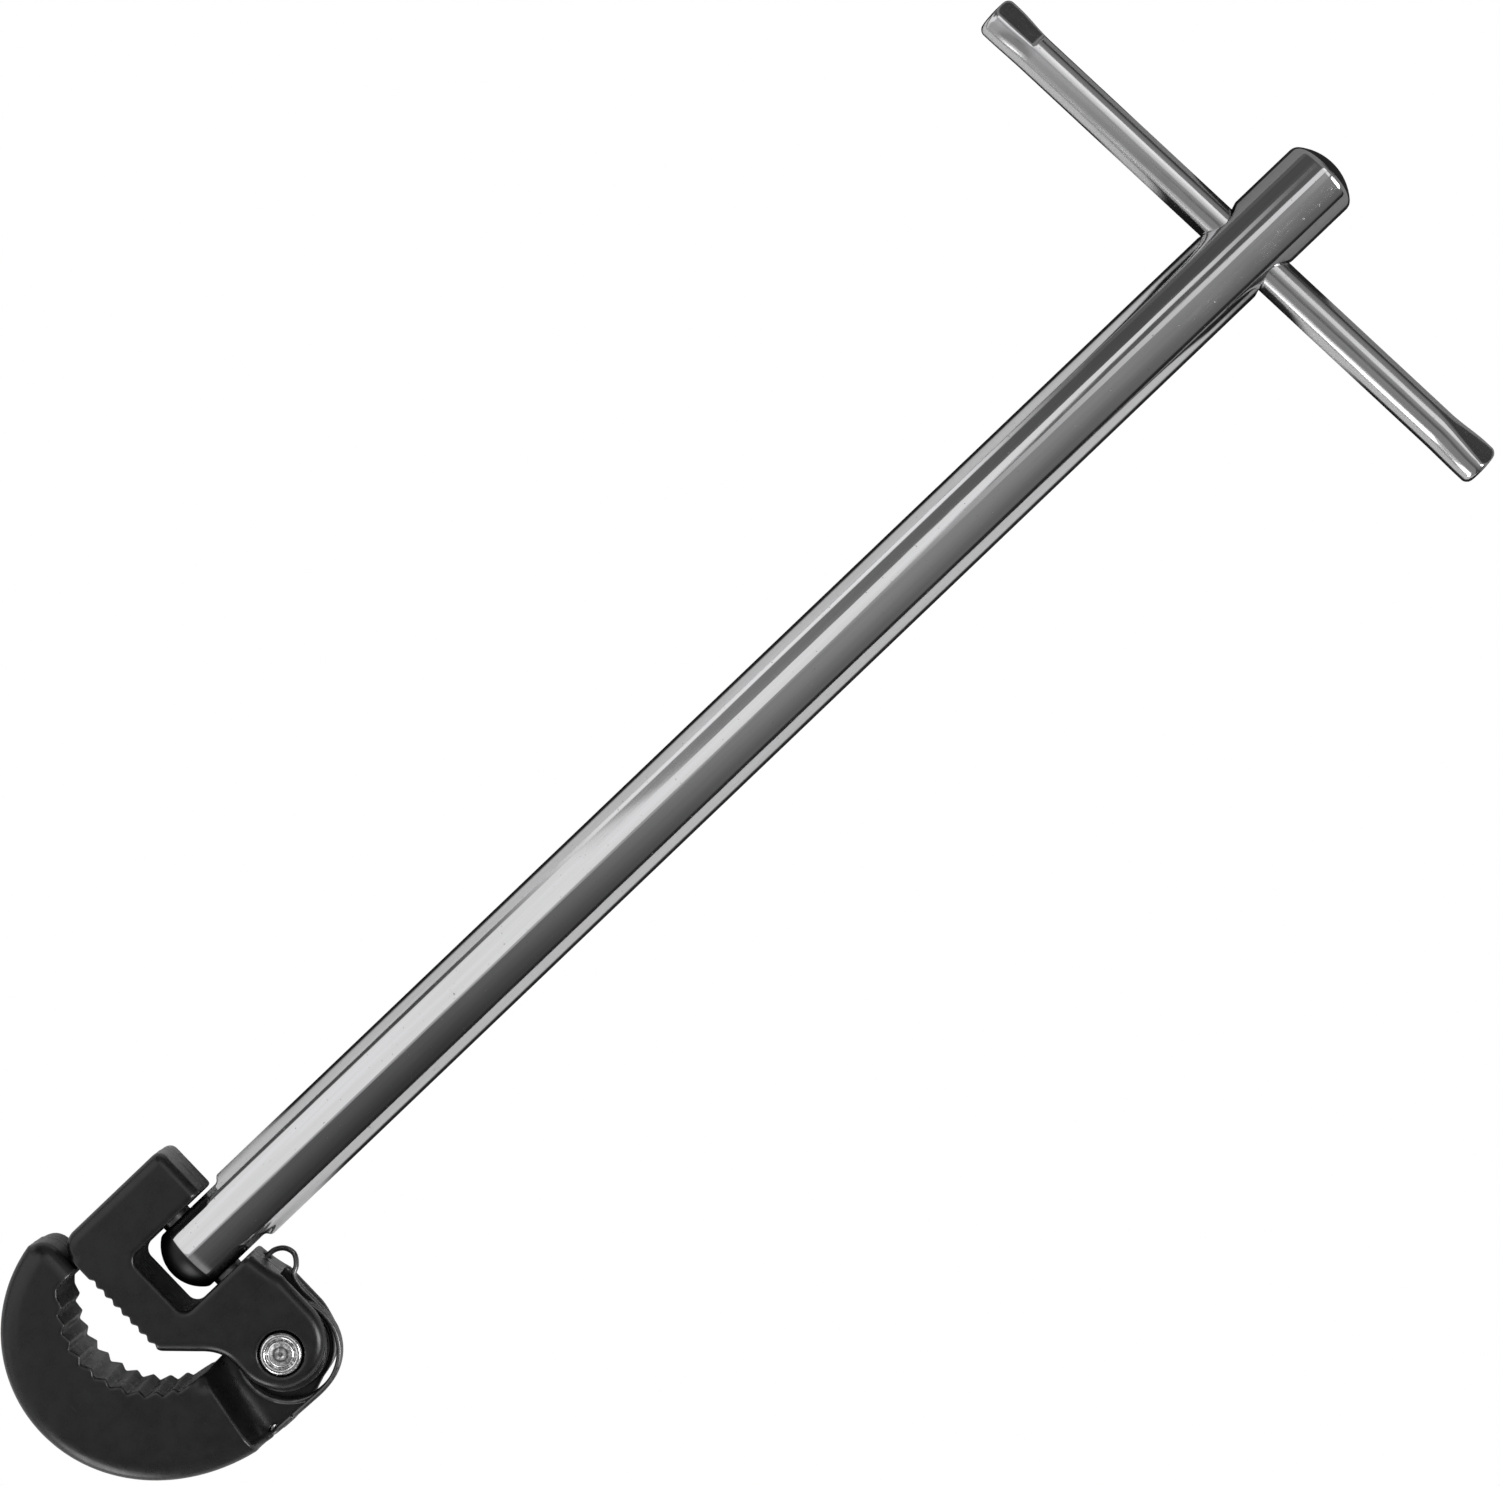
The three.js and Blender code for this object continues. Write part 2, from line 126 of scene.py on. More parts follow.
RIVET_HEAD_BASE = 4.8  # underside of the head, from the middle
HOOK_X = 3.8  # the middle of the hook's lowest point
MOUTH_X = 1  # centre of the hook's toothed arc
MOUTH_Y = -10.3
TOOTH_ROOT = 14.4
TOOTH_TIP = 13.55
TANG_FRONT = -0.1  # the thinned part that enters the fork
TANG_BACK = -3.1
EYE_RADIUS = 7.4  # round the rivet, on the hook and the back lug
BOSS_RADIUS = 6.5  # the boss that the spring is wound round
BOSS_TOP = 3
WIRE_RADIUS = 0.42
COIL_X = 21
COIL_Y = -1.2
COIL_RADIUS = 7.9
COIL_TURNS = 2.25
COIL_LOW = 0.65  # heights of the coil's first and last turns
COIL_HIGH = 2.55
ANCHOR_X = 8.2  # the hole that holds the fixed leg
ANCHOR_Z = -2.4
ANCHOR_FOOT = 3.6
LEG_TIP_X = 28.55  # where the moving leg bears on the hook
LEG_TIP_Y = -11.6
WIRE_HOLE = 0.73  # radius of the anchor hole and the notch


# ---- Distance fields: negative inside, in millimetres ----
ROUNDING_REACH = 1.17  # takes a square edge back as far as a true rounding of the same radius does


def meet(a, b, radius):
    """What is inside both, with the edge between them rounded."""
    reach = ROUNDING_REACH * radius
    return np.maximum(a, b) + np.maximum(reach - np.abs(a - b), 0) ** 2 / (4 * reach)


def join(a, b, radius):
    return -meet(-a, -b, radius)


def cut(a, b, radius):
    """a without b, with the new edge rounded."""
    return meet(a, -b, radius)


def disc(u, v, centre_u, centre_v, radius):
    return np.hypot(u - centre_u, v - centre_v) - radius


def rectangle(u, v, u0, u1, v0, v1, corner=0.0):
    across = np.maximum(u0 - u, u - u1) + corner
    up = np.maximum(v0 - v, v - v1) + corner
    outside = np.hypot(np.maximum(across, 0), np.maximum(up, 0))
    return outside + np.minimum(np.maximum(across, up), 0) - corner


def outline(x, y, points):
    """Distance to a closed outline of straight lines between the points."""
    shape = np.broadcast_shapes(np.shape(x), np.shape(y))
    nearest = np.full(shape, np.inf)
    inside = np.zeros(shape, bool)
    repeated = 1e-12  # the squared distance below which two points are one
    for (ax, ay), (bx, by) in zip(points, points[1:] + points[:1]):
        dx, dy = bx - ax, by - ay
        length = dx * dx + dy * dy
        if length < repeated:
            continue
        t = np.clip(((x - ax) * dx + (y - ay) * dy) / length, 0, 1)
        nearest = np.minimum(nearest, (x - ax - t * dx) ** 2 + (y - ay - t * dy) ** 2)
        if ay != by:
            inside ^= ((ay > y) != (by > y)) & (x < ax + (y - ay) * dx / dy)
    return np.sqrt(nearest) * np.where(inside, -1, 1)


def plate(across, z, low, high, width, depth=None):
    """An outline's field as a plate between two heights, its edges rounded over a width and a depth."""
    depth = depth or width
    side = across / width + 1
    face = (np.maximum(low - z, z - high)) / depth + 1
    outside = np.hypot(np.maximum(side, 0), np.maximum(face, 0))
    return (outside + np.minimum(np.maximum(side, face), 0) - 1) * min(width, depth)


def arc(cx, cy, rx, ry, start, end, step=2.0):
    """Points along an ellipse's arc, from one angle to another in degrees."""
    count = max(2, round(abs(end - start) / step))
    angles = [math.radians(start + (end - start) * i / count) for i in range(count + 1)]
    return [(cx + rx * math.cos(a), cy + ry * math.sin(a)) for a in angles]


def bend(a, middle, b, count=16):
    """Points along a quadratic curve from a to b, drawn towards the middle point."""
    points = []
    for i in range(count + 1):
        t = i / count
        weights = ((1 - t) ** 2, 2 * t * (1 - t), t * t)
        points.append(tuple(sum(w * p[k] for w, p in zip(weights, (a, middle, b))) for k in (0, 1)))
    return points


# ---- Meshes from fields ----
def steps(low, high, size):
    return np.linspace(low, high, max(2, math.ceil((high - low) / size) + 1))


def surface_net(values, axes):
    """Vertices and quads of the surface on which the values on a grid change sign."""
    cells = tuple(n - 1 for n in values.shape)
    inside = values < 0
    ids, crossings, quads = [], [], []
    for axis in range(3):
        low = tuple(slice(0, -1) if k == axis else slice(None) for k in range(3))
        high = tuple(slice(1, None) if k == axis else slice(None) for k in range(3))
        starts = np.argwhere(inside[low] != inside[high])
        ends = starts.copy()
        ends[:, axis] += 1
        v0, v1 = values[tuple(starts.T)], values[tuple(ends.T)]
        share = v0 / (v0 - v1)
        point = np.stack([axes[k][starts[:, k]] for k in range(3)], 1)
        point[:, axis] += share * (axes[axis][ends[:, axis]] - axes[axis][starts[:, axis]])
        second, third = (axis + 1) % 3, (axis + 2) % 3
        around = []
        for back_second, back_third in ((0, 0), (1, 0), (1, 1), (0, 1)):
            cell = starts.copy()
            cell[:, second] -= back_second
            cell[:, third] -= back_third
            around.append(np.ravel_multi_index(tuple(cell.T), cells))
            ids.append(around[-1])
            crossings.append(point)
        quad = np.stack(around, 1)
        faces_back = ~inside[tuple(starts.T)]
        quad[faces_back] = quad[faces_back][:, ::-1]
        quads.append(quad)
    used, index = np.unique(np.concatenate(ids), return_inverse=True)
    crossings = np.concatenate(crossings)
    count = np.bincount(index, minlength=len(used))
    points = np.stack([np.bincount(index, crossings[:, k], len(used)) / count for k in range(3)], 1)
    return points, np.searchsorted(used, np.concatenate(quads))


def slope(field, points, reach=0.01):
    """The field's gradient at the points."""
    parts = []
    for axis in range(3):
        shift = np.zeros(3)
        shift[axis] = reach
        ahead = field(*(points + shift).T)
        behind = field(*(points - shift).T)
        parts.append((ahead - behind) / (2 * reach))
    return np.stack(parts, 1)


def settle(field, points, furthest):
    """Moves the points onto the field's surface."""
    rounds, least_slope, least_move = 2, 1e-6, 1e-9
    for _ in range(rounds):
        gradient = slope(field, points)
        size = np.sum(gradient**2, 1)
        move = gradient * (field(*points.T) / np.maximum(size, least_slope))[:, None]
        length = np.linalg.norm(move, axis=1, keepdims=True)
        points = points - move * np.minimum(1, furthest / np.maximum(length, least_move))
    return points


def new_object(name, points, faces):
    mesh = bpy.data.meshes.new(name)
    mesh.from_pydata(points.tolist(), [], faces.tolist())
    mesh.update()
    mesh.shade_smooth()
    piece = bpy.data.objects.new(name, mesh)
    bpy.context.scene.collection.objects.link(piece)
    return piece


def field_piece(name, field, axes, polished=False):
    """A piece from its field, in metres about the field's own origin. A polished one gets exact normals."""
    x, y, z = axes
    values = field(x[:, None, None], y[None, :, None], z[None, None, :])
    values = np.array(np.broadcast_to(values, (len(x), len(y), len(z))))
    points, quads = surface_net(values, axes)
    if polished:
        points = settle(field, points, furthest=0.1)
    piece = new_object(name, points * MM, quads)
    if polished:
        normals = slope(field, points)
        normals /= np.linalg.norm(normals, axis=1, keepdims=True)
        piece.data.normals_split_custom_set_from_vertices(normals.tolist())
    mark_edges(piece)
    return piece


def mark_edges(piece):
    """Stores how sharply each vertex's surroundings curve outwards, as the attribute that worn edges and
    painted edge highlights follow.
    """
    edge_mark_starts, edge_mark_full = 0.6, 1.8  # curvature, per millimetre
    smoothing_rounds, shortest = 2, 1e-9
    mesh = piece.data
    count = len(mesh.vertices)
    place = np.empty(count * 3)
    normal = np.empty(count * 3)
    mesh.vertices.foreach_get("co", place)
    mesh.vertices.foreach_get("normal", normal)
    place, normal = place.reshape(-1, 3) / MM, normal.reshape(-1, 3)
    ends = np.empty(len(mesh.edges) * 2, int)
    mesh.edges.foreach_get("vertices", ends)
    a, b = ends.reshape(-1, 2).T
    along = place[b] - place[a]
    length = np.maximum(np.sum(along**2, 1), shortest)
    bending = np.sum((normal[b] - normal[a]) * along, 1) / length
    both, twice = np.concatenate([a, b]), np.concatenate([bending, bending])
    neighbours = np.maximum(np.bincount(both, minlength=count), 1)
    curve = np.bincount(both, twice, count) / neighbours
    for _ in range(smoothing_rounds):
        around = np.bincount(both, np.concatenate([curve[b], curve[a]]), count) / neighbours
        curve = (curve + around) / 2
    # one mask for worn edges and for painted edge highlights
    worn_and_highlit = np.clip((curve - edge_mark_starts) / (edge_mark_full - edge_mark_starts), 0, 1)
    mesh.attributes.new("edge", "FLOAT", "POINT").data.foreach_set("value", worn_and_highlit)


def set_down(piece, body, slot, *nodes):
    """Puts a finished piece on its body, in place of CAD nodes."""
    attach(piece, body)
    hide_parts(*nodes)


# ---- Node helpers ----
class Tree:
    """A material's or the world's node tree, with short ways to add to it."""

    def __init__(self, owner):
        owner.use_nodes = True
        self.nodes = owner.node_tree.nodes
        self.links = owner.node_tree.links

    def add(self, kind, inputs=None, **settings):
        node = self.nodes.new(kind)
        for key, value in settings.items():
            setattr(node, key, value)
        for key, value in (inputs or {}).items():
            self.put(node.inputs[key], value)
        return node

    def put(self, socket, value):
        if isinstance(value, bpy.types.NodeSocket):
            self.links.new(value, socket)
        else:
            socket.default_value = value

    def maths(self, operation, *values):
        node = self.add("ShaderNodeMath", operation=operation)
        for i, value in enumerate(values):
            self.put(node.inputs[i], value)
        return node.outputs[0]

    def times(self, a, b):
        return self.maths("MULTIPLY", a, b)

    def ramp(self, value, low, high, to_low=0.0, to_high=1.0):
        """A smooth change from one level to another, as a value goes from low to high."""
        inputs = {"Value": value, "From Min": low, "From Max": high, "To Min": to_low, "To Max": to_high}
        return self.add("ShaderNodeMapRange", inputs, interpolation_type="SMOOTHSTEP").outputs[0]

    def place(self, stretch=(1, 1, 1)):
        """The piece's own coordinates in millimetres, divided along each axis."""
        source = self.add("ShaderNodeTexCoord").outputs["Object"]
        scale = tuple(1 / (MM * s) for s in stretch)
        inputs = {0: source, 1: scale}
        return self.add("ShaderNodeVectorMath", inputs, operation="MULTIPLY").outputs[0]

    def between(self, value, low, high, soft):
        """1 where a value is between two others and 0 elsewhere, with soft ends."""
        rise = self.ramp(self.maths("SUBTRACT", value, low), -soft, soft)
        fall = self.ramp(self.maths("SUBTRACT", high, value), -soft, soft)
        return self.times(rise, fall)

    def noise(self, size, detail=2.0, stretch=(1, 1, 1)):
        """Noise with features of a size in millimetres."""
        inputs = {"Vector": self.place(stretch), "Scale": 1 / size, "Detail": detail}
        return self.add("ShaderNodeTexNoise", inputs).outputs["Fac"]

    def mix(self, factor, a, b):
        """A number between two others."""
        node = self.add("ShaderNodeMix", data_type="FLOAT")
        for key, value in (("Factor", factor), ("A", a), ("B", b)):
            self.put(node.inputs[key], value)
        return node.outputs["Result"]

    def blend(self, factor, a, b):
        """A colour between two others."""
        node = self.add("ShaderNodeMix", data_type="RGBA")
        self.put(node.inputs["Factor"], factor)
        self.put(node.inputs["A"], (*a, 1) if isinstance(a, tuple) else a)
        self.put(node.inputs["B"], (*b, 1) if isinstance(b, tuple) else b)
        return node.outputs["Result"]

    def edges(self):
        """1 on a piece's sharp outer edges and 0 on its faces."""
        return self.add("ShaderNodeAttribute", attribute_name="edge").outputs["Fac"]

    def bump(self, height, depth, normal=None):
        """A normal from a height that runs from 0 to 1, for a depth in millimetres."""
        inputs = {"Height": height, "Distance": depth * MM, "Strength": 1.0}
        if normal is not None:
            inputs["Normal"] = normal
        return self.add("ShaderNodeBump", inputs).outputs[0]


def grey(value, blue=0.0):
    return (value, value, value * (1 + blue))


def surface(name, metallic):
    material = bpy.data.materials.new(name)
    tree = Tree(material)
    shader = tree.nodes["Principled BSDF"]
    shader.inputs["Metallic"].default_value = metallic
    return material, tree, shader


# ---- Materials ----
def black_coat():
    """Baked-on black over cast steel: a fine orange peel, and edges worn a little lighter and smoother. The
    lighter edges are partly worn coat and partly a painted highlight.
    """
    material, tree, shader = surface("black_coat", metallic=0.0)
    shader.inputs["IOR"].default_value = 1.45
    # the lightest colour, on the outer edges, is partly worn coat and partly a painted highlight
    darkest, dark, scuffed, light_edge_or_dark_end = grey(0.005), grey(0.0075, blue=0.04), grey(0.025), grey(0.045)
    edge = tree.edges()
    patches = tree.noise(size=1.3, detail=5)
    # the edge mask: worn coat, and a painted highlight where light catches the edges
    rubbed_and_highlit = tree.times(edge, tree.ramp(patches, 0.34, 0.6, 0.25))
    cloud = tree.noise(size=7, detail=4)
    colour = tree.blend(tree.ramp(cloud, 0.3, 0.7), darkest, dark)
    colour = tree.blend(rubbed_and_highlit, colour, light_edge_or_dark_end)
    scuff = tree.noise(size=0.35, detail=3, stretch=(9, 1, 1))
    scuff = tree.ramp(scuff, 0.66, 0.74, 0, 0.3)
    tree.put(shader.inputs["Base Color"], tree.blend(scuff, colour, scuffed))
    rough = tree.ramp(tree.noise(size=2.2, detail=5), 0.3, 0.7, 0.25, 0.34)
    rough = tree.maths("SUBTRACT", rough, tree.times(edge, 0.06))
    tree.put(shader.inputs["Roughness"], rough)
    peel = tree.bump(tree.noise(size=0.75, detail=2), depth=0.009)
    grain = tree.bump(tree.noise(size=0.16, detail=3), depth=0.002, normal=peel)
    tree.put(shader.inputs["Normal"], grain)
    return material


def chrome(name, tone, along, lines, dull=0.0):
    """Bright chrome plate over drawn bar: fine polishing lines along it, faint smears and a few pits."""
    material, tree, shader = surface(name, metallic=1.0)
    fine = tree.noise(size=0.09, detail=3, stretch=along)
    broad = tree.noise(size=0.8, detail=3, stretch=along)
    smear = tree.noise(size=9, detail=4)
    pits = tree.ramp(tree.noise(size=0.55, detail=2), 0.7, 0.76)
    colour = tree.blend(tree.ramp(broad, 0.3, 0.7), grey(tone * 0.93), grey(tone, blue=0.02))
    tree.put(shader.inputs["Base Color"], tree.blend(pits, colour, grey(tone * 0.55)))
    rough = tree.ramp(smear, 0.3, 0.7, 0.045, 0.085)
    rough = tree.maths("ADD", rough, tree.ramp(fine, 0.45, 0.75, 0, 0.05))
    rough = tree.maths("ADD", rough, tree.times(pits, 0.2))
    tree.put(shader.inputs["Roughness"], tree.maths("ADD", rough, dull))
    drawn = tree.bump(broad, depth=lines)
    tree.put(shader.inputs["Normal"], tree.bump(fine, depth=lines * 0.12, normal=drawn))
    return material, tree, shader


def shaft_chrome():
    """Chrome down to the rim of the head end; the dome below the rim is coloured dark and made rougher."""
    material, tree, shader = chrome("shaft_chrome", tone=0.57, along=(1, 60, 1), lines=0.006)
    dark_end_colour, dark_end_roughness = grey(0.03), 0.38
    height = tree.add("ShaderNodeSeparateXYZ", {0: tree.place()}).outputs["Y"]
    # below the rim: a dark colour and a rougher surface
    light_edge_or_dark_end = tree.ramp(height, SHAFT_RIM + 0.05, SHAFT_RIM - 0.15)
    plated = shader.inputs["Base Color"].links[0].from_socket
    tree.put(shader.inputs["Base Color"], tree.blend(light_edge_or_dark_end, plated, dark_end_colour))
    polish = shader.inputs["Roughness"].links[0].from_socket
    tree.put(shader.inputs["Roughness"], tree.mix(light_edge_or_dark_end, polish, dark_end_roughness))
    return material


def bar_chrome():
    """The same plate on the T-bar, a little duller from being handled."""
    material, _, _ = chrome("bar_chrome", tone=0.55, along=(40, 1, 1), lines=0.012, dull=0.07)
    return material


def pin_steel():
    """Dark, lightly oiled steel with turning marks round it."""
    material, tree, shader = surface("pin_steel", metallic=1.0)
    turned = tree.noise(size=0.12, detail=2, stretch=(0.5, 20, 20))
    oil = tree.noise(size=1.5, detail=4)
    tree.put(shader.inputs["Base Color"], tree.blend(turned, grey(0.1), grey(0.2)))
    tree.put(shader.inputs["Roughness"], tree.ramp(oil, 0.3, 0.7, 0.28, 0.45))
    tree.put(shader.inputs["Normal"], tree.bump(turned, depth=0.006))
    return material


def rivet_steel():
    """Bright steel, turned in fine rings, with painted shade in darker rings of colour and a painted
    highlight of near-white colour on its edges, and battered where it was closed.
    """
    material, tree, shader = surface("rivet_steel", metallic=1.0)
    # rim is a near-white painted highlight for the edges, and the dark ring colour is painted shade
    dark, bright, groove_shade_colour, rim = grey(0.3), grey(0.85), grey(0.08), grey(0.95)
    fine_rings, shade_rings = 42, 7.4  # radians of their waves per millimetre
    flat = tree.add("ShaderNodeVectorMath", {0: tree.place(), 1: (1, 1, 0)}, operation="MULTIPLY")
    radius = tree.add("ShaderNodeVectorMath", {0: flat.outputs[0]}, operation="LENGTH").outputs["Value"]
    rings = tree.ramp(tree.maths("SINE", tree.times(radius, fine_rings)), -1, 1)
    mottle = tree.noise(size=0.5, detail=4)
    colour = tree.blend(tree.ramp(mottle, 0.4, 0.6), dark, bright)
    # painted shade: bands of dark colour in rings round the head, standing in for shade in its turned hollows
    painted_groove_shade = tree.ramp(tree.maths("SINE", tree.times(radius, shade_rings)), -0.2, 1, 0, 0.8)
    colour = tree.blend(painted_groove_shade, colour, groove_shade_colour)
    # painted highlight: the sharp edges are coloured near white
    tree.put(shader.inputs["Base Color"], tree.blend(tree.edges(), colour, rim))
    tree.put(shader.inputs["Roughness"], tree.ramp(mottle, 0.4, 0.6, 0.3, 0.14))
    battered = tree.bump(mottle, depth=0.05)
    tree.put(shader.inputs["Normal"], tree.bump(rings, depth=0.006, normal=battered))
    return material


def spring_steel():
    """Black spring wire with drawing lines and a slight sheen."""
    material, tree, shader = surface("spring_steel", metallic=0.85)
    blotch = tree.noise(size=0.9, detail=4)
    tree.put(shader.inputs["Base Color"], tree.blend(blotch, grey(0.06), grey(0.16)))
    tree.put(shader.inputs["Roughness"], tree.ramp(blotch, 0.3, 0.7, 0.24, 0.4))
    tree.put(shader.inputs["Normal"], tree.bump(tree.noise(size=0.1, detail=3), depth=0.008))
    return material


def dress(piece, material):
    piece.data.materials.clear()
    piece.data.materials.append(material)


# ---- Shaft ----
def dome(across, from_tip, depth):
    """A round dome that caps the shaft and meets its side at a rim."""
    radius = (SHAFT_RADIUS**2 + depth**2) / (2 * depth)
    return np.hypot(across, np.maximum(radius - from_tip, 0)) - radius


def shaft_field(x, y, z):
    across = np.hypot(x, z)
    nose = dome(across, y - SHAFT_NOSE, SHAFT_RIM - SHAFT_NOSE)
    crown = dome(across, SHAFT_TOP - y, SHAFT_DOME)
    bar = meet(across - SHAFT_RADIUS, nose, 0.25)
    bar = meet(bar, crown, 0.4)
    flats = meet(FLAT_HALF_WIDTH - np.abs(x), y - FLAT_SHOULDER, 0.5)
    pin_hole = np.hypot(y, z) - PIN_RADIUS - GAP
    bar_hole = disc(y, z, BAR_HEIGHT, 0, BAR_HOLE_RADIUS)
    bar = cut(bar, flats, 0.2)
    bar = cut(bar, pin_hole, 0.3)
    return cut(bar, bar_hole, 0.45)


def make_shaft():
    """The grid is fine at the ends, and coarse along the plain bar, which is straight."""
    fine, coarse, margin = 0.24, 3.5, 0.6
    flats_end = FLAT_SHOULDER + 2
    hole_start = BAR_HEIGHT - BAR_HOLE_RADIUS - 2
    y = np.concatenate([
        steps(SHAFT_NOSE - margin, flats_end, fine),
        steps(flats_end + 1, hole_start - 1, coarse),
        steps(hole_start, SHAFT_TOP + margin, fine),
    ])
    around = steps(-SHAFT_RADIUS - margin, SHAFT_RADIUS + margin, fine)
    piece = field_piece("shaft_bar", shaft_field, (around, y, around), polished=True)
    piece.location = ORIGIN
    dress(piece, shaft_chrome())
    set_down(piece, "handle", "shaft_chrome", "shaft")


# ---- T-bar, about its own middle ----
def t_bar_field(x, y, z):
    """The bar's ends are pressed flat on two sides, and spread a little more on one side than the other.

    The left end's flats stop at a shoulder, and the right end's run out in a slight taper.
    """
    pressed_over, shift, chamfer, taper_slope, taper_start = 7, 0.25, 0.6, 0.06, 1
    from_end = BAR_LENGTH / 2 - np.abs(x)
    pressed = np.clip((SWAGE_LENGTH + 1 - from_end) / pressed_over, 0, 1)
    pressed = pressed * pressed * (3 - 2 * pressed)
    wide = y * math.cos(SWAGE_TURN) - z * math.sin(SWAGE_TURN) - shift * pressed
    thin = y * math.sin(SWAGE_TURN) + z * math.cos(SWAGE_TURN)
    across = np.hypot(wide / (1 + (SWAGE_SPREAD - 1) * pressed), thin)
    end_chamfer = (across - from_end - BAR_RADIUS + chamfer) / math.sqrt(2)
    bar = meet(across - BAR_RADIUS, end_chamfer, 0.3)
    past_flat = SWAGE_HALF_THICKNESS - np.abs(thin)
    shoulder = meet(past_flat, from_end - SWAGE_LENGTH, 0.5)
    taper = past_flat + taper_slope * np.maximum(from_end - taper_start, 0)
    bar = cut(bar, np.where(x < 0, shoulder, taper), 0.15)
    return meet(bar, -from_end, 0.15)


def make_t_bar():
    fine, coarse = 0.2, 2.0
    half = BAR_LENGTH / 2
    swage_start = half - SWAGE_LENGTH - 3
    swage = steps(swage_start, half + 0.5, fine)
    middle = steps(1 - swage_start, swage_start - 1, coarse)
    x = np.concatenate([-swage[::-1], middle, swage])
    reach = BAR_RADIUS * SWAGE_SPREAD + 0.5
    around = steps(-reach, reach, fine)
    piece = field_piece("sliding_t_bar", t_bar_field, (x, around, around), polished=True)
    piece.location = centre("t_bar")
    piece.rotation_euler.z = BAR_TILT
    dress(piece, bar_chrome())
    set_down(piece, "sliding_bar", "bar_chrome", "t_bar")


# ---- Jaw body ----
def body_outline():
    lug_x, lug_y, lug_radius = 18.8, -0.7, 7.3
    ear_corner, lower_corner, teeth_room = 1.5, 3, 2
    ear_x, ear_y = EAR_LEFT + ear_corner, EAR_TOP - ear_corner
    points = arc(ear_x, ear_y, ear_corner, ear_corner, 90, 180, 6)
    lower_x, lower_y = EAR_LEFT + lower_corner, TEETH_LINE + lower_corner
    points += arc(lower_x, lower_y, lower_corner, lower_corner, 180, 261, 4)
    points += [(-11.4, TEETH_LINE - teeth_room), (5.4, TEETH_LINE - teeth_room)]
    points += bend((11.5, -10.6), (13.7, -8.1), (16.2, lug_y - lug_radius))
    points += arc(lug_x, lug_y, lug_radius, lug_radius, -90, 90)
    points += bend((12, lug_y + lug_radius), (9.5, 5.7), (SLOT_HALF_WIDTH, 5.4))
    return points + [(SLOT_HALF_WIDTH - 1, EAR_TOP)]


def fixed_teeth():
    """What is cut away below the fixed teeth."""
    pitch, depth, count, first = 1.9, 0.5, 8, -8.06
    right, below = 9, TEETH_LINE - 3
    points = [(EAR_LEFT - 1, below), (EAR_LEFT - 1, TEETH_LINE)]
    for i in range(count):
        x = first + i * pitch
        points += [(x, TEETH_LINE), (x + pitch * 0.4, TEETH_LINE + depth), (x + pitch * 0.8, TEETH_LINE)]
    return points + [(right, TEETH_LINE), (right, below)]


def parting_line(across, z):
    """A faint ridge round a casting, where its mould's halves met."""
    height, half_width = 0.05, 0.3
    return across - height * np.exp(-((z / half_width) ** 2))


def jaw_body_field(x, y, z):
    body_edge, lug_edge, slot_corner, fork_corner = 1.7, 0.7, 1.8, 0.6
    past_top, past_side = 20, 40  # cuts that leave the body go on this far
    rim = outline(x, y, body_outline())
    body = plate(parting_line(rim, z), z, -BODY_HALF, BODY_HALF, body_edge)
    back_lug = plate(disc(x, y, RIVET_X, RIVET_Y, EYE_RADIUS), z, -BODY_HALF, FORK_BACK, lug_edge)
    body = join(body, back_lug, 0.4)
    slot = rectangle(x, y, -SLOT_HALF_WIDTH, SLOT_HALF_WIDTH, SLOT_FLOOR, EAR_TOP + past_top, slot_corner)
    body = cut(body, slot, 0.55)
    body = cut(body, outline(x, y, fixed_teeth()), 0.22)
    fork = rectangle(x, z, FORK_FLOOR, FORK_FLOOR + past_side, FORK_BACK, FORK_FRONT, fork_corner)
    body = cut(body, fork, 0.5)
    pin_hole = meet(np.hypot(y, z) - PIN_RADIUS - GAP / 2, x - PIN_RIGHT - GAP, 0.2)
    body = cut(body, pin_hole, 0.25)
    from_rivet = np.hypot(x - RIVET_X, y - RIVET_Y)
    body = cut(body, from_rivet - RIVET_RADIUS - GAP, 0.2)
    counterbore = meet(from_rivet - RIVET_HEAD_RADIUS - GAP, RIVET_HEAD_BASE - GAP - np.abs(z), 0.2)
    body = cut(body, counterbore, 0.35)
    anchor = meet(disc(x, z, ANCHOR_X, ANCHOR_Z, WIRE_HOLE), ANCHOR_FOOT - y, 0.2)
    return cut(body, anchor, 0.3)


def casting_axes(node):
    """A fine, even grid round a casting's CAD box."""
    step, margin = 0.23, 0.6
    return [steps(low - margin, high + margin, step) for low, high in (span(node, k) for k in range(3))]


def make_jaw_body():
    piece = field_piece("jaw_body_casting", jaw_body_field, casting_axes("jaw_body"))
    piece.location = ORIGIN
    dress(piece, coat)
    set_down(piece, "head", "black_coat", "jaw_body")


# ---- Hook jaw ----
def hook_outline():
    left_radius, right_width, right_height = 22.5, 25.6, 28.6
    right = HOOK_X + right_width
    points = arc(HOOK_X, HOOK_BOTTOM + left_radius, left_radius, left_radius, 190.3, 270, 1.5)
    points += arc(HOOK_X, HOOK_BOTTOM + right_height, right_width, right_height, -90, 0, 1.5)[1:]
    points += [(right - 0.3, -4.5)]
    points += arc(RIVET_X, RIVET_Y, EYE_RADIUS, EYE_RADIUS, 5.7, 188.4)
    points += [(14.5, -12.2), (-10.5, -15.4)]
    return points + bend((-14.9, -15.4), (-17.6, -15.6), (-18.1, -18.1))


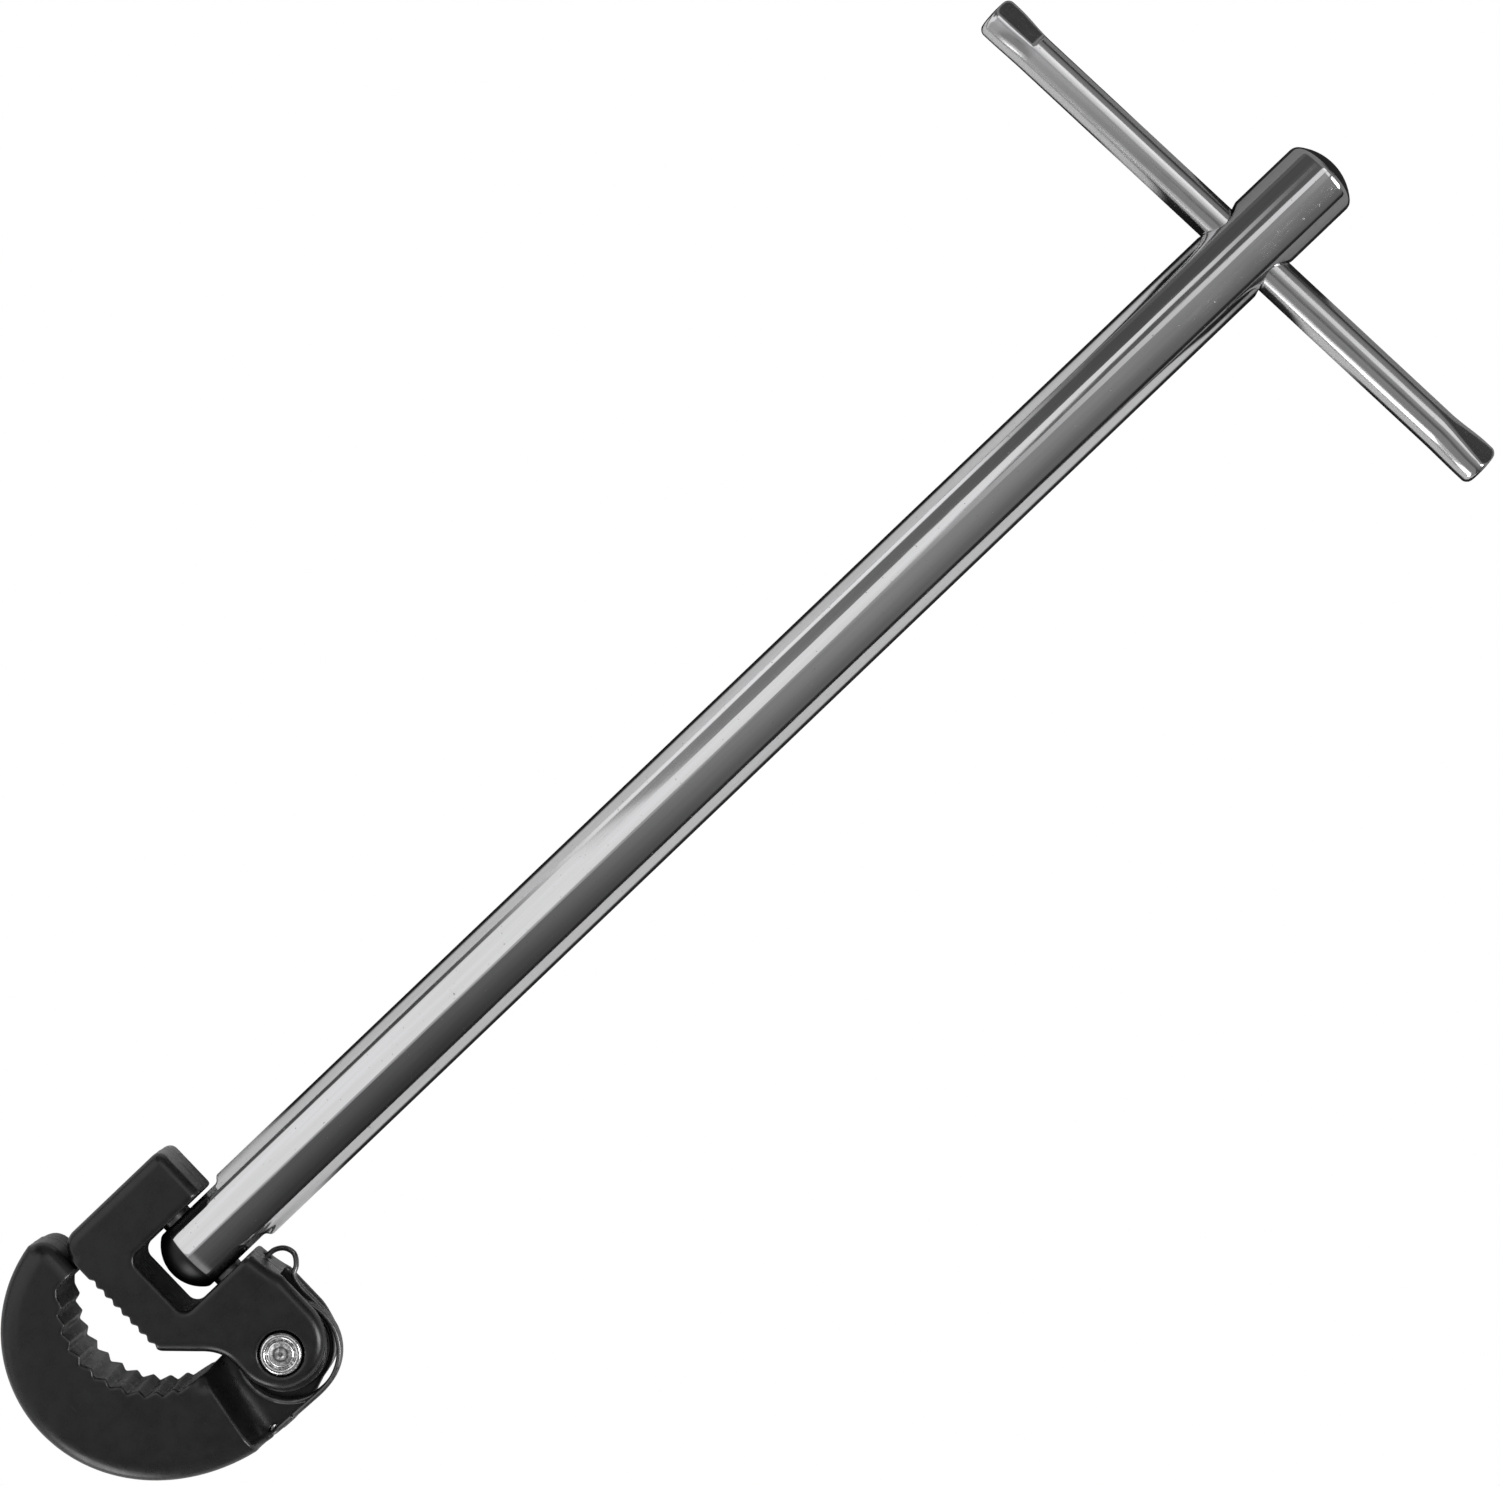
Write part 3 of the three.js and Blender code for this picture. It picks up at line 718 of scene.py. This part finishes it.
def mouth_outline():
    """The mouth that holds a nut: a toothed arc below, open towards the fixed teeth."""
    first_tip, tooth_angle, tip_to_root, count = -29.5, 11.2, 6.7, 10
    points = [(14.5, -12.2), (13.75, -16.6)]
    for i in range(count):
        tip = first_tip - i * tooth_angle
        root = tip - tip_to_root
        for radius, angle in ((TOOTH_TIP, tip), (TOOTH_ROOT, root)):
            a = math.radians(angle)
            points.append((MOUTH_X + radius * math.cos(a), MOUTH_Y + radius * math.sin(a)))
    return points + [(-10.5, -19.2), (-10.5, -9), (14.5, -9)]


def tang_recess(x, y, z, side, floor, sweep):
    """The room that thins the hook to its tang on one side, with a concave shoulder."""
    turn = math.radians(9.5)
    foot_x, foot_y, wall_foot, wall_lean = 22.5, -11.6, -0.9, 0.18
    up = (x - foot_x) * math.sin(turn) + (y - foot_y) * math.cos(turn)
    above = (z - floor) * side
    wall = (wall_foot - up - wall_lean * above) / math.hypot(1, wall_lean)
    return meet(-above, wall, sweep)


def hook_jaw_field(x, y, z):
    edge_width, edge_depth, boss_edge, front_sweep, back_sweep = 3.3, 2.2, 0.3, 2.6, 1.6
    rim = outline(x, y, hook_outline())
    hook = plate(parting_line(rim, z), z, -HOOK_HALF, HOOK_HALF, edge_width, edge_depth)
    hook = cut(hook, outline(x, y, mouth_outline()), 0.25)
    boss = plate(disc(x, y, RIVET_X, RIVET_Y, BOSS_RADIUS), z, TANG_FRONT - 1, BOSS_TOP, boss_edge)
    front = cut(tang_recess(x, y, z, 1, TANG_FRONT, front_sweep), boss, 0.3)
    hook = cut(hook, front, 0.4)
    hook = cut(hook, tang_recess(x, y, z, -1, TANG_BACK, back_sweep), 0.4)
    hook = cut(hook, disc(x, y, RIVET_X, RIVET_Y, RIVET_RADIUS + GAP), 0.25)
    notch = join(
        disc(x, y, LEG_TIP_X, LEG_TIP_Y, WIRE_HOLE),
        rectangle(x, y, LEG_TIP_X, LEG_TIP_X + 4, LEG_TIP_Y - WIRE_HOLE, LEG_TIP_Y + WIRE_HOLE),
        0.05,
    )
    return cut(hook, notch, 0.25)


def make_hook_jaw():
    piece = field_piece("hook_jaw_casting", hook_jaw_field, casting_axes("hook_jaw"))
    piece.location = ORIGIN
    dress(piece, coat)
    set_down(piece, "hook", "black_coat", "hook_jaw")


# ---- Cross pin ----
def pin_field(x, y, z):
    chamfer_size = 0.35
    across = np.hypot(y, z)
    ends = np.maximum(PIN_LEFT - x, x - PIN_RIGHT)
    chamfer = (across - PIN_RADIUS + ends + chamfer_size) / math.sqrt(2)
    return meet(meet(across - PIN_RADIUS, ends, 0.08), chamfer, 0.1)


def make_pin():
    fine, coarse = 0.14, 0.3
    x = steps(PIN_LEFT - 0.5, PIN_RIGHT + 0.5, coarse)
    around = steps(-PIN_RADIUS - 0.4, PIN_RADIUS + 0.4, fine)
    piece = field_piece("cross_pin", pin_field, (x, around, around), polished=True)
    piece.location = ORIGIN
    dress(piece, pin_steel())
    set_down(piece, "head", "pin_steel", "pivot_pin")


# ---- Rivet, about its own middle ----
def rivet_outline():
    """Half the rivet's section, as radius and height. It goes a little past the axis."""
    return [
        (-1, 0),
        (RIVET_RADIUS, 0),
        (RIVET_RADIUS, RIVET_HEAD_BASE),
        (RIVET_HEAD_RADIUS, RIVET_HEAD_BASE),
        (RIVET_HEAD_RADIUS, RIVET_TOP - 0.35),
        (2.95, RIVET_TOP),
        (2.5, RIVET_TOP),
        (2.3, RIVET_TOP - 0.5),
        (2.1, RIVET_TOP - 0.45),
        (1.95, RIVET_TOP - 0.15),
        (1.3, RIVET_TOP - 0.05),
        (0, RIVET_TOP),
        (-1, RIVET_TOP),
    ]


def rivet_field(x, y, z):
    """The head has a raised rim, a groove inside it, and a low dome that the closing tool left dented."""
    across = np.hypot(x, y)
    height = np.abs(z)
    rivet = outline(across, height, rivet_outline())
    dents, size, depth = 9, 0.42, 0.07
    for i in range(dents):
        angle = 2.4 * i
        reach = 0.35 + 0.17 * i
        from_x = x - reach * math.cos(angle)
        from_y = y - reach * math.sin(angle)
        from_z = height - RIVET_TOP - size + depth
        dent = np.sqrt(from_x**2 + from_y**2 + from_z**2) - size
        rivet = cut(rivet, dent, 0.05)
    return rivet


def make_rivet():
    step, margin = 0.11, 0.3
    around = steps(-RIVET_HEAD_RADIUS - margin, RIVET_HEAD_RADIUS + margin, step)
    through = steps(-RIVET_TOP - margin, RIVET_TOP + margin, step)
    piece = field_piece("hook_rivet", rivet_field, (around, around, through))
    piece.location = centre("rivet")
    dress(piece, rivet_steel())
    set_down(piece, "head", "rivet_steel", "rivet")


# ---- Torsion spring ----
def through_points(points, per_span):
    """A smooth path through the points: a centripetal Catmull-Rom curve."""
    points = [np.array(p, float) for p in points]
    points = [2 * points[0] - points[1], *points, 2 * points[-1] - points[-2]]
    path = []
    for p0, p1, p2, p3 in zip(points, points[1:], points[2:], points[3:]):
        t1 = math.sqrt(np.linalg.norm(p1 - p0))
        t2 = t1 + math.sqrt(np.linalg.norm(p2 - p1))
        t3 = t2 + math.sqrt(np.linalg.norm(p3 - p2))
        for t in np.linspace(t1, t2, per_span, endpoint=False):
            a1 = p0 + (p1 - p0) * t / t1
            a2 = p1 + (p2 - p1) * (t - t1) / (t2 - t1)
            a3 = p2 + (p3 - p2) * (t - t2) / (t3 - t2)
            b1 = a1 + (a2 - a1) * t / t2
            b2 = a2 + (a3 - a2) * (t - t1) / (t3 - t1)
            path.append(b1 + (b2 - b1) * (t - t1) / (t2 - t1))
    return np.array([*path, points[-2]])


def wire(name, path, radius, sides=16):
    """A round wire along a path, with its cut ends' edges taken off."""
    tangents = np.gradient(path, axis=0)
    tangents /= np.linalg.norm(tangents, axis=1, keepdims=True)
    end_cuts = ((0, 0.05), (0.12 * radius, 0.8), (0.4 * radius, 1))  # distance in, and share of the radius
    rings = [(path[0] + tangents[0] * s, tangents[0], r) for s, r in end_cuts]
    rings += [(p, t, 1) for p, t in zip(path[1:-1], tangents[1:-1])]
    rings += [(path[-1] - tangents[-1] * s, tangents[-1], r) for s, r in reversed(end_cuts)]
    side = np.cross(tangents[0], (0.3, 0.5, 0.81))
    points = []
    for place, tangent, share in rings:
        side = side - tangent * np.dot(side, tangent)
        side /= np.linalg.norm(side)
        up = np.cross(tangent, side)
        for i in range(sides):
            a = 2 * math.pi * i / sides
            points.append(place + radius * share * (side * math.cos(a) + up * math.sin(a)))
    faces = []
    for ring in range(len(rings) - 1):
        for i in range(sides):
            a, b = ring * sides + i, ring * sides + (i + 1) % sides
            faces.append((a, b, b + sides, a + sides))
    piece = new_object(name, np.array(points) * MM, np.array(faces))
    close_ends(piece, sides)
    mark_edges(piece)
    return piece


def close_ends(piece, sides):
    """Fills the two small rings that end a wire."""
    mesh = bmesh.new()
    mesh.from_mesh(piece.data)
    mesh.verts.ensure_lookup_table()
    mesh.faces.new(list(reversed(mesh.verts[:sides])))
    mesh.faces.new(mesh.verts[-sides:])
    mesh.normal_update()
    mesh.to_mesh(piece.data)
    mesh.free()
    piece.data.shade_smooth()


def coil_points():
    """The fixed leg, from its hole in the jaw body, and the coil that follows it."""
    points = [
        (ANCHOR_X, 4.1, ANCHOR_Z),
        (ANCHOR_X, 5.4, ANCHOR_Z),
        (8.3, 7, -2.3),
        (9.2, 8.5, -1.7),
        (10.8, 9.2, -0.7),
        (12.3, 8.4, 0.2),
        (13.1, 7.2, 0.6),
        (15, COIL_Y + COIL_RADIUS, COIL_LOW),
        (18, COIL_Y + COIL_RADIUS, COIL_LOW),
    ]
    points_per_turn = 20
    count = round(COIL_TURNS * points_per_turn)
    for i in range(count + 1):
        angle = math.pi / 2 - 2 * math.pi * COIL_TURNS * i / count
        x = COIL_X + COIL_RADIUS * math.cos(angle)
        y = COIL_Y + COIL_RADIUS * math.sin(angle)
        points.append((x, y, COIL_LOW + (COIL_HIGH - COIL_LOW) * i / count))
    return points + [(28.85, -4, COIL_HIGH), (28.7, -7.5, COIL_HIGH)]


def moving_leg_points():
    return [
        (28.7, -7.5, COIL_HIGH),
        (28.6, -10.4, COIL_HIGH),
        (LEG_TIP_X, -11.4, 2),
        (LEG_TIP_X, LEG_TIP_Y, 0.9),
        (LEG_TIP_X, LEG_TIP_Y, -2.6),
    ]


def make_spring():
    """The coil stays fixed where it is built, though the real one twists between the head and the hook; the
    moving leg's end goes with the hook.
    """
    steel = spring_steel()
    coil = wire("spring_coil", through_points(coil_points(), per_span=5), WIRE_RADIUS)
    coil.location = ORIGIN
    dress(coil, steel)
    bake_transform(coil)
    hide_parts("torsion_spring")
    leg = wire("spring_moving_leg", through_points(moving_leg_points(), per_span=8), WIRE_RADIUS)
    leg.location = ORIGIN
    dress(leg, steel)
    set_down(leg, "hook", "spring_steel", "torsion_spring")


# ---- Table, light and camera ----
def table_shade(tree):
    """The painted shade on the table, as the tool sees it in reflections, from 0 to 1: painted shadows beside
    the bars, and darker beyond the T-bar.
    """
    split = tree.add("ShaderNodeSeparateXYZ", {0: tree.add("ShaderNodeTexCoord").outputs["Object"]})
    x, y = split.outputs["X"], split.outputs["Y"]
    t_bar_line = centre("t_bar").y
    from_shaft = tree.maths("ABSOLUTE", tree.maths("SUBTRACT", x, ORIGIN.x))
    from_t_bar = tree.maths("ABSOLUTE", tree.maths("SUBTRACT", y, t_bar_line))
    past_head = tree.ramp(y, ORIGIN.y + 0.014, ORIGIN.y + 0.024)
    beside_shaft = tree.times(tree.ramp(from_shaft, 0.013, 0.018, 1, 0), past_head)
    clear_of_shaft = tree.ramp(from_shaft, 0.022, 0.03)
    beside_t_bar = tree.times(tree.ramp(from_t_bar, 0.0075, 0.012, 1, 0), clear_of_shaft)
    past_t_bar = tree.ramp(y, t_bar_line, t_bar_line + 0.006, 0, 0.65)
    return tree.maths("MAXIMUM", past_t_bar, tree.maths("MAXIMUM", beside_shaft, beside_t_bar))


def make_table():
    """A table that the camera sees as plain white, and the tool as grey card lit by the room, with painted
    shade on it.
    """
    size, drop = 30, 0.0001
    corners = np.array([(-size, -size, 0), (size, -size, 0), (size, size, 0), (-size, size, 0)], float)
    table = new_object("table", corners, np.array([(0, 1, 2, 3)]))
    table.location.z = -drop
    material = bpy.data.materials.new("table")
    tree = Tree(material)
    tree.nodes.remove(tree.nodes["Principled BSDF"])
    lit = tree.maths("SUBTRACT", 1, table_shade(tree))
    card = tree.add("ShaderNodeBsdfDiffuse", {"Color": tree.blend(lit, grey(0.03), grey(0.8))})
    white = tree.add("ShaderNodeEmission", {"Color": (1, 1, 1, 1), "Strength": 1.0})
    seen = tree.add("ShaderNodeLightPath").outputs["Is Camera Ray"]
    both = tree.add("ShaderNodeMixShader", {0: seen, 1: card.outputs[0], 2: white.outputs[0]})
    tree.put(tree.nodes["Material Output"].inputs["Surface"], both.outputs[0])
    dress(table, material)


# The room is drawn by direction. `right` is how far a direction leans to the right of straight up, in
# degrees. `away` is how far it leans towards the T-bar, as a slope, and is negative towards the head.
def room_walls(tree, right, away):
    """Grey on the left, darker towards the T-bar. Dark on the right, lighter towards the T-bar."""
    left = tree.ramp(away, -0.1, 0.2, 0.5, 0.14)
    left = tree.times(left, tree.ramp(right, -60, -10, 0.8, 1.15))
    overhead = tree.ramp(away, -0.16, 0.06, 0.15, 0.38)
    low_down = tree.ramp(away, -0.16, 0.06, 0.06, 0.19)
    floor_level = 0.03
    side = tree.mix(tree.ramp(right, 0, 75), overhead, low_down)
    side = tree.mix(tree.ramp(right, 76, 82), side, floor_level)
    return tree.mix(tree.ramp(right, -2.5, 0), left, side)


def overhead_panel(tree, light, right, away):
    """The bright panel over the shaft, which narrows towards the T-bar."""
    left_edge = tree.ramp(away, -0.065, -0.025, -78, -40)
    right_edge = tree.ramp(away, 0.03, 0.2, -7, -29)
    right_edge = tree.maths("SUBTRACT", right_edge, tree.ramp(away, -0.35, -0.7, 0, 20))
    across = tree.between(right, left_edge, right_edge, soft=1)
    panel = tree.times(across, tree.ramp(away, 0.2, 0.27, 1, 0))
    level = tree.ramp(away, -1, -0.3, 0.9, 1.2)
    return tree.mix(panel, light, level)


def low_left_strip(tree, light, right, away):
    """A bright strip low on the left, beside the middle of the shaft."""
    level = tree.times(tree.ramp(away, -0.12, -0.05, 0.1, 1.3), tree.ramp(away, 0.1, 0.17, 1, 0.12))
    return tree.mix(tree.ramp(right, -75, -79), light, level)


def beyond_t_bar(tree, light, right, away):
    """Past the T-bar: a dim wall with a bright window on each side of the middle, and a lamp on the right."""
    wall = tree.ramp(away, 2, 4.5, 0.3, 0.06)
    light = tree.mix(tree.ramp(away, 0.5, 0.65), light, wall)
    window = tree.times(tree.between(right, -15, -1, soft=0.8), tree.ramp(away, 0.0, 0.26))
    window = tree.times(window, tree.ramp(away, 0.9, 0.96, 1, 0))
    light = tree.mix(window, light, tree.ramp(away, 0.2, 0.8, 1.05, 1.6))
    right_level, lamp_level = 1.25, 12.0
    window = tree.times(tree.between(right, 0.5, 15, soft=0.8), tree.between(away, 0.3, 0.85, soft=0.05))
    light = tree.mix(window, light, right_level)
    lamp = tree.times(tree.between(right, 24, 62, soft=3), tree.between(away, 0.36, 0.8, soft=0.04))
    return tree.mix(lamp, light, lamp_level)


def beyond_head(tree, light, right, away):
    """Past the head: on the right a grey wall, and a soft strip that a second lamp continues."""
    wall_level, furthest_level = 0.36, 0.5
    wall = tree.times(tree.ramp(away, -0.25, -0.35), tree.ramp(right, -1, 1))
    light = tree.mix(wall, light, wall_level)
    strip = tree.times(tree.between(away, -4, -1.4, soft=0.2), tree.ramp(right, 0, 3))
    light = tree.mix(strip, light, tree.ramp(right, 13, 22, 0.75, 5.5))
    return tree.mix(tree.ramp(away, -4, -5), light, furthest_level)


def make_studio():
    """The room that the tool reflects: a bright panel overhead, grey on its left and dark on its right."""
    world = bpy.data.worlds.new("studio")
    bpy.context.scene.world = world
    tree = Tree(world)
    direction = tree.add("ShaderNodeTexCoord").outputs["Generated"]
    x, y, z = tree.add("ShaderNodeSeparateXYZ", {0: direction}).outputs
    right = tree.maths("DEGREES", tree.maths("ARCTAN2", x, z))
    least_height = 0.02
    height = tree.maths("SQRT", tree.maths("ADD", tree.times(x, x), tree.times(z, z)))
    away = tree.maths("DIVIDE", y, tree.maths("MAXIMUM", height, least_height))
    light = room_walls(tree, right, away)
    light = overhead_panel(tree, light, right, away)
    light = low_left_strip(tree, light, right, away)
    light = beyond_t_bar(tree, light, right, away)
    light = beyond_head(tree, light, right, away)
    background = tree.nodes["Background"]
    tree.put(background.inputs["Strength"], light)
    background.inputs["Color"].default_value = (1, 1, 1, 1)


def make_camera():
    """Straight above the tool, turned so that it lies across the picture from corner to corner."""
    distance, nearest_seen = 0.465, 0.01  # metres
    above = Vector((2.34, 115.1, 0))  # the point that it looks down on, in millimetres from the cross pin
    turn = math.radians(46.33)
    camera = bpy.data.objects.new("camera", bpy.data.cameras.new("camera"))
    camera.data.sensor_width = 36
    camera.data.lens = 72
    camera.data.clip_start = nearest_seen
    camera.location = ORIGIN + above * MM + Vector((0, 0, distance))
    camera.rotation_euler.z = turn
    bpy.context.scene.collection.objects.link(camera)
    bpy.context.scene.camera = camera


make_camera()
make_table()
make_studio()
bpy.context.scene.view_settings.view_transform = "Standard"

coat = black_coat()
make_shaft()
make_t_bar()
make_jaw_body()
make_hook_jaw()
make_pin()
make_rivet()
make_spring()
